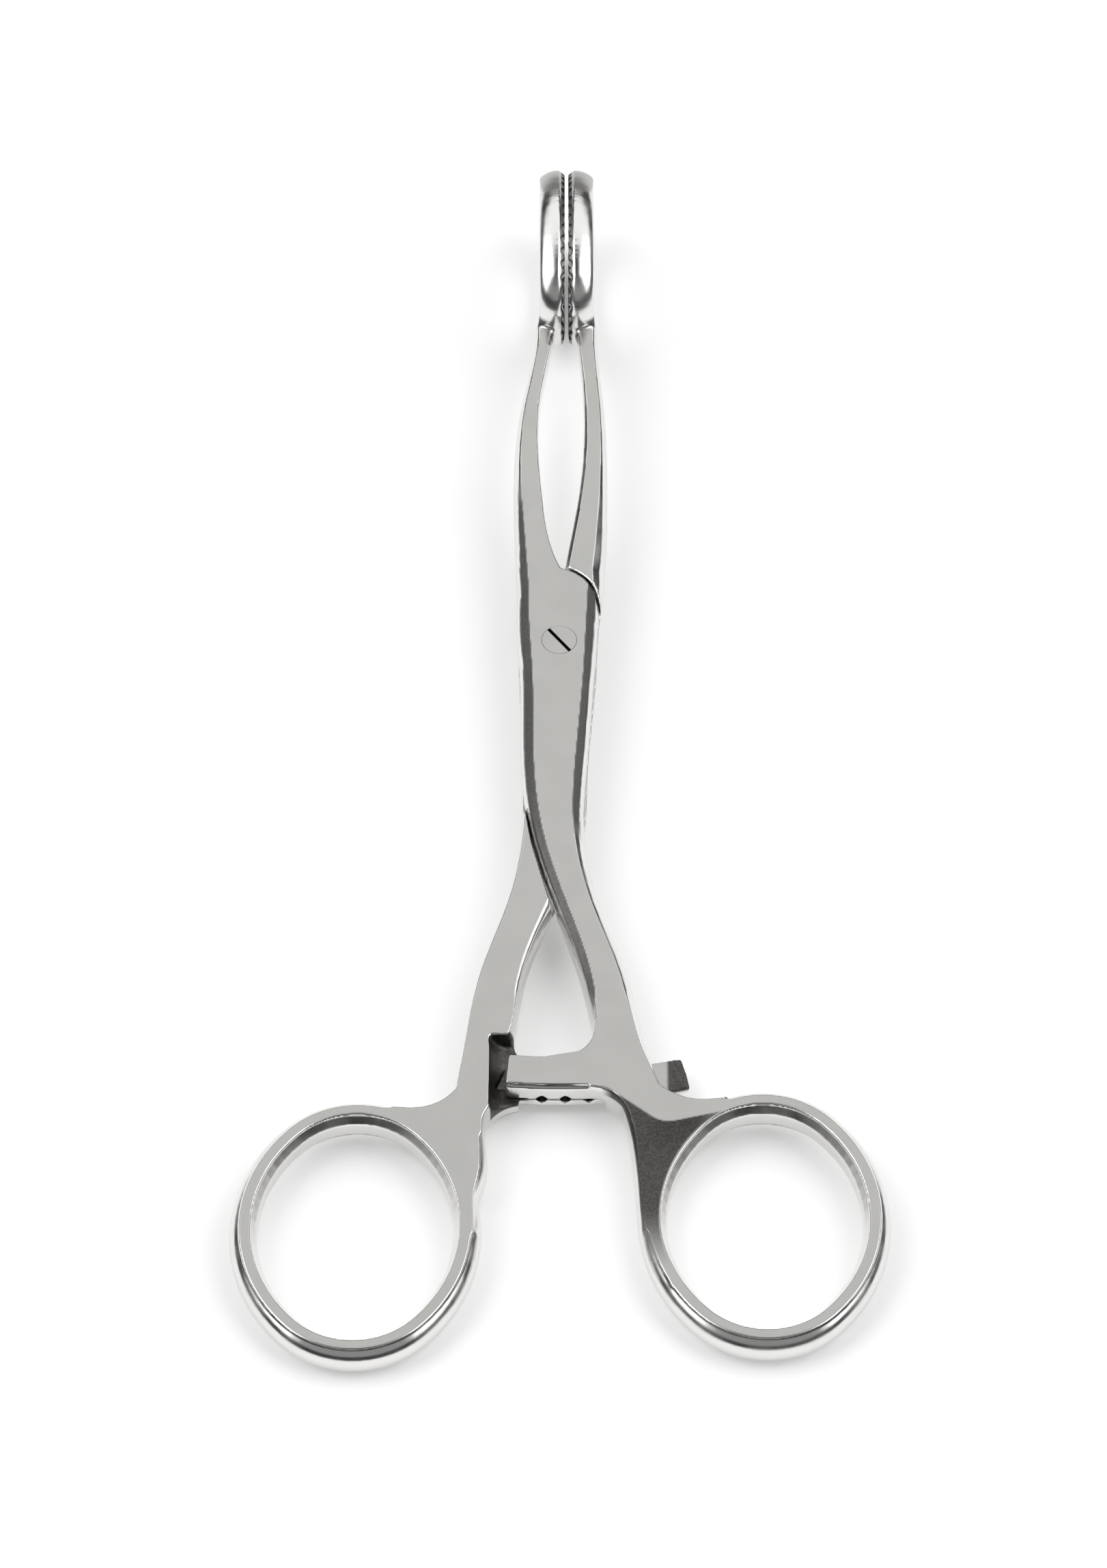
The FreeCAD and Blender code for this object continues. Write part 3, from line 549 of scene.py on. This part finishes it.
def iron(points):
    """Bring the flats of the foot level with each other, and the plate's rim round the screw to its top."""
    lift = FLAT_LEVEL - np.abs(points[:, 2])
    share = step(-points[:, 1], *IRON_FROM) * (1 - step(np.abs(lift), *IRON_GAP))
    points[:, 2] += np.sign(points[:, 2]) * lift * share
    from_screw = np.hypot(points[:, 0], points[:, 1])
    beside = (from_screw > SCREW_HEAD) & (from_screw < SCREW_HEAD + RIM_WIDTH)
    points[beside & (points[:, 2] > PLATE_TOP - RIM_DEPTH), 2] = PLATE_TOP
    return points


def slope_facet(points):
    """Slope the facet beside the right ring: the top the most, the middle half as much, the underside not."""
    x, y, z = points.T
    inside = np.clip(path_distance(points, rounded(FACET_CORNERS)), 0, None)
    depth = FACET_DROP * np.tanh(inside * FACET_SLOPE / FACET_DROP) * step(y, *FACET_TOE)
    depth = depth * between(x, FACET_ARM, FACET_LIMB)
    share = np.clip((z + FLAT_LEVEL) / (2 * FLAT_LEVEL), 0, 1)
    points[:, 2] -= depth * share
    return points


# ---------------------------------------------------------------------------------------------
# Finishes and painted shade, as shares from 0 to 1 at each point
# ---------------------------------------------------------------------------------------------
def facet_dark_reflection(points):
    """The facet beside the right ring: coarse, and darkened with a painted dark reflection."""
    x, y, z = points.T
    inside = step(path_distance(points, rounded(FACET_CORNERS)), *FACET_EDGE)
    coarse_and_shade = inside * between(x, FACET_SHADE_X, FACET_LIMB) * step(y, *FACET_TOE)
    return coarse_and_shade * step(oval_gap(points, "upper"), *FACET_RING_GAP) * step(z, *FACET_HEIGHT)


def coarse_bevels_dark_reflection(points, normals):
    """The upper half's bevels beside its flat top, the left one for longer than the right one: coarse, and
    darkened with a painted dark reflection.
    """
    y = points[:, 1]
    across, up = normals[:, 0], normals[:, 2]
    bevel = between(up, *BEVEL_UP) * step(points[:, 2], *BEVEL_HEIGHT)
    left = step(-across, *BEVEL_SIDE) * between(y, *LEFT_BEVEL)
    right = step(across, *BEVEL_SIDE) * between(y, *RIGHT_BEVEL)
    return BEVEL_SHADE * bevel * np.maximum(left, right)


def jaw_finishes_and_shade(points, normals):
    """The jaw's polished rest, its satin tip, and the dark of its teeth and of its root: painted shade in the
    teeth and a painted dark reflection across the root.
    """
    x, y, z = points.T
    tip = step(normals[:, 1], *TIP_FACING) * step(y, *TIP_START)
    polished = step(y, *JAW_POLISH) * (1 - tip)
    teeth = TEETH_SHADE * step(y, *TEETH_START) * (1 - step(np.abs(x - JAW_MIDDLE), *TEETH_SIDE))
    cap = between(y, *CAP_ALONG) * between(z, *CAP_HEIGHT)
    return polished, tip, np.maximum(teeth, cap)


def paint(mesh, name, values):
    layer = mesh.attributes.new(name, "FLOAT", "POINT")
    layer.data.foreach_set("value", values.astype(np.float32))


def paint_finishes_and_shade(mesh, half):
    """Paint a forging's finishes, with its painted shade and painted dark reflections, on its mesh, which is
    still in millimetres.
    """
    points = read_vectors(mesh.vertices, "co")
    normals = read_vectors(mesh.vertices, "normal")
    polished, satin, dark = jaw_finishes_and_shade(points, normals)
    if half == "upper":
        coarse_and_shade = [dark, facet_dark_reflection(points), coarse_bevels_dark_reflection(points, normals)]
    else:
        # The lower half: painted shade in the milled step and at the lower arm's end, with a coarse finish
        coarse_and_shade = [dark, in_box(points, MILLED_STEP), in_box(points, ARM_END)]
    paint(mesh, "polished", polished)
    paint(mesh, "satin", satin)
    paint(mesh, "coarse_and_shade", np.max(coarse_and_shade, axis=0))


# ---------------------------------------------------------------------------------------------
# Pieces
# ---------------------------------------------------------------------------------------------
def make_forging(half, material):
    """One forging: its CAD shape and a flat foot as one soft skin, levelled and painted."""
    node = f"{half}_half"
    mesh = frame["nodes"][node].data.copy()
    mesh.materials.clear()
    piece = bpy.data.objects.new(f"{node}_forging", mesh)
    bpy.context.scene.collection.objects.link(piece)
    write_points(mesh, points_to_plane(read_vectors(mesh.vertices, "co")))
    add_prism(mesh, foot_outline(half), FOOT_BOTTOM[half], FLAT_LEVEL)
    remesh(piece)
    points = iron(read_vectors(piece.data.vertices, "co"))
    write_points(piece.data, points)
    soften_where(piece, soft_places(points, half))
    mesh = piece.data
    points = iron(read_vectors(mesh.vertices, "co"))
    if half == "upper":
        points = slope_facet(points)
    write_points(mesh, points)
    paint_finishes_and_shade(mesh, half)
    write_points(mesh, points_to_scene(points))
    mesh.shade_smooth()
    mesh.materials.append(material)
    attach(piece, half)
    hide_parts(node)


def dress_screw(screw, steel, shadow):
    """Steel all over, but for the slot's floor and walls, which lie inside the head and below its top, and get
    painted shade.
    """
    mesh = screw.data
    mesh.materials.clear()
    mesh.materials.append(steel)
    mesh.materials.append(shadow)
    points = points_to_plane(read_vectors(mesh.vertices, "co"))
    for face in mesh.polygons:
        x, y, z = points[list(face.vertices)].mean(axis=0)
        inside = math.hypot(x, y) < SCREW_HEAD - SLOT_MARGIN
        face.material_index = 1 if inside and SLOT_FLOOR < z < PLATE_TOP - SLOT_MARGIN else 0


make_camera()
make_floor()
make_world()
steel = make_steel("forging_steel")
for half in ("upper", "lower"):
    make_forging(half, steel)
dress_screw(frame["nodes"]["pivot_screw"], steel, make_shadow("slot_shadow"))
